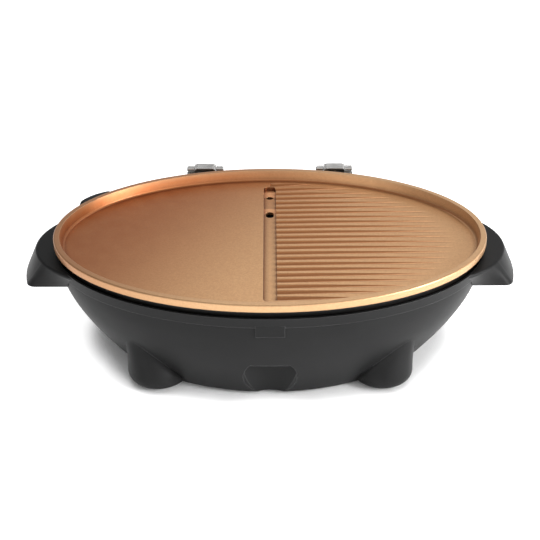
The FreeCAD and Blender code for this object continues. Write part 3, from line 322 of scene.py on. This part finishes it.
def glazed_ceramic():
    """Steatite insulators: off-white body with specks under a thin glaze."""
    material, tree, shader, place = start("ceramic")
    body = noise(tree, place, 90.0, 4.0)
    speck = cells(tree, place, 900.0)[0]
    colour = mix_colour(tree, ramp(tree, body, 0.3, 0.7), (0.72, 0.69, 0.62), (0.80, 0.78, 0.73))
    colour = mix_colour(tree, ramp(tree, speck, 0.12, 0.04, 0.0, 0.6), colour, (0.35, 0.31, 0.26))
    join(tree, colour, shader.inputs["Base Color"])
    join(tree, ramp(tree, body, 0.3, 0.7, 0.18, 0.32), shader.inputs["Roughness"])
    join(tree, bump(tree, body, 0.0001, 0.2), shader.inputs["Normal"])
    return material


def foot_rubber():
    """Matt foot rubber with a moulded grain and grey dust along its edges."""
    material, tree, shader, place = start("rubber")
    grain = noise(tree, place, 1100.0, 4.0, 0.7)
    dust = noise(tree, place, 80.0, 5.0)
    colour = mix_colour(tree, ramp(tree, dust, 0.5, 0.8), (0.018, 0.018, 0.018), (0.060, 0.058, 0.054))
    edge, rounded = edge_mask(tree, 0.0008)
    colour = mix_colour(tree, math_node(tree, "MULTIPLY", edge, 0.4), colour, (0.085, 0.083, 0.078))
    join(tree, colour, shader.inputs["Base Color"])
    join(tree, ramp(tree, dust, 0.3, 0.7, 0.72, 0.88), shader.inputs["Roughness"])
    join(tree, bump(tree, grain, 0.0001, 0.6, rounded), shader.inputs["Normal"])
    return material


# Grey plastic: dark and light tones, an edge colour for wear and a painted highlight, roughness low and high,
# specular level.
grey = ((0.0088, 0.0088, 0.0090), (0.0112, 0.0112, 0.0114), (0.090, 0.090, 0.091), 0.40, 0.50, 0.16)
finishes = {
    "copper_coating": copper_coating(),
    "grey_plastic": moulded_plastic("grey_plastic", *grey),
    "bowl": moulded_plastic("grey_plastic_bowl", *grey, blend=FOOT_BLEND),
    "black_plastic": moulded_plastic("black_plastic", (0.0040, 0.0040, 0.0042), (0.0065, 0.0065, 0.0067),
                                     (0.030, 0.030, 0.031), 0.36, 0.46, 0.22),
    "black_enamel": enamel(),
    "stainless": brushed_steel(),
    "steel": plated_steel(),
    "heater_sheath": heater_sheath(),
    "brass": turned_brass(),
    "ceramic": glazed_ceramic(),
    "rubber": foot_rubber(),
}
for subpart in frame["record"]["subparts"]:
    mesh = nodes[subpart["node"]].data
    mesh.materials.clear()
    mesh.materials.append(finishes.get(subpart["node"], finishes[subpart["material_slot"]]))


# Studio

def pale_floor():
    """A white floor that glows a little; the glow fades close to the part as a painted shadow."""
    mesh = bpy.data.meshes.new("studio_floor")
    half = FLOOR_HALF
    corners = [(-half, -half, 0.0), (half, -half, 0.0), (half, half, 0.0), (-half, half, 0.0)]
    mesh.from_pydata(corners, [], [(0, 1, 2, 3)])
    floor = bpy.data.objects.new("studio_floor", mesh)
    scene.collection.objects.link(floor)
    material, tree, shader, place = start("studio_white")
    fibre = noise(tree, place, 40.0, 4.0)
    tone = mix_colour(tree, ramp(tree, fibre, 0.3, 0.7), (0.90, 0.90, 0.90), (0.92, 0.92, 0.92))
    join(tree, tone, shader.inputs["Base Color"])
    join(tree, tone, shader.inputs["Emission Color"])
    # Painted shadow: the floor's glow fades where the part closes in on it.
    painted_contact_shadow = add(tree, "ShaderNodeAmbientOcclusion", samples=8, Distance=0.035)
    join(tree, ramp(tree, painted_contact_shadow.outputs["AO"], 0.40, 0.90, 0.0, 0.88), shader.inputs["Emission Strength"])
    shader.inputs["Roughness"].default_value = 0.9
    shader.inputs["Specular IOR Level"].default_value = 0.1
    mesh.materials.append(material)


def soft_box(name, direction, distance, width, height, watts):
    """A soft light aimed at the plate; its azimuth is 0 at the back and 90 at the right."""
    azimuth, elevation = (math.radians(angle) for angle in direction)
    level = math.cos(elevation)
    away = Vector((math.sin(azimuth) * level, math.cos(azimuth) * level, math.sin(elevation)))
    data = bpy.data.lights.new(name, "AREA")
    data.shape = "RECTANGLE"
    data.size = width
    data.size_y = height
    data.energy = watts
    lamp = bpy.data.objects.new(name, data)
    lamp.location = LIGHT_AIM + away * distance
    lamp.rotation_euler = (-away).to_track_quat("-Z", "Y").to_euler()
    scene.collection.objects.link(lamp)


def studio_world():
    """A pale studio: white along the horizon, bright in front, dimmer behind, dimmest behind on the left."""
    world = bpy.data.worlds.new("studio")
    world.use_nodes = True
    scene.world = world
    tree = world.node_tree
    place = add(tree, "ShaderNodeTexCoord").outputs["Generated"]
    height = split(tree, place)[2]
    glow = ramp(tree, height, 0.25, 0.85, 0.40, 0.30)
    right = ((0.85, 0.20, 0.30), -0.4, 0.8, 0.28)
    front = ((0.10, -0.98, 0.10), 0.3, 0.95, 0.44)
    for aim, low, high, gain in (right, front):
        toward = add(tree, "ShaderNodeVectorMath", operation="DOT_PRODUCT")
        join(tree, place, toward.inputs[0])
        toward.inputs[1].default_value = aim
        glow = math_node(tree, "ADD", glow, ramp(tree, toward.outputs["Value"], low, high, 0.0, gain))
    glow = math_node(tree, "MAXIMUM", glow, ramp(tree, height, 0.12, 0.06, 0.0, 1.05))
    join(tree, glow, tree.nodes["Background"].inputs["Strength"])
    tree.nodes["Background"].inputs["Color"].default_value = (1.0, 1.0, 1.0, 1.0)


pale_floor()
studio_world()
soft_box("back_box", (10.0, 52.0), 1.7, 0.9, 0.4, 3.5)
soft_box("right_box", (118.0, 18.0), 1.5, 0.5, 0.8, 22.0)
soft_box("front_right_box", (152.0, 12.0), 1.6, 0.3, 0.3, 1.6)
soft_box("front_left_box", (-150.0, 10.0), 1.6, 0.4, 0.3, 1.3)


# Camera

lens = bpy.data.cameras.new("photo_camera")
camera = bpy.data.objects.new("photo_camera", lens)
scene.collection.objects.link(camera)
lens.sensor_fit = "HORIZONTAL"
lens.angle = math.radians(LENS_ANGLE)
camera.location = CAMERA_PLACE
tilt = Matrix.Rotation(math.radians(CAMERA_TILT), 3, "X")
roll = Matrix.Rotation(math.radians(CAMERA_ROLL), 3, "Z")
camera.rotation_euler = (tilt @ roll).to_euler()
scene.camera = camera
scene.view_settings.view_transform = "Standard"
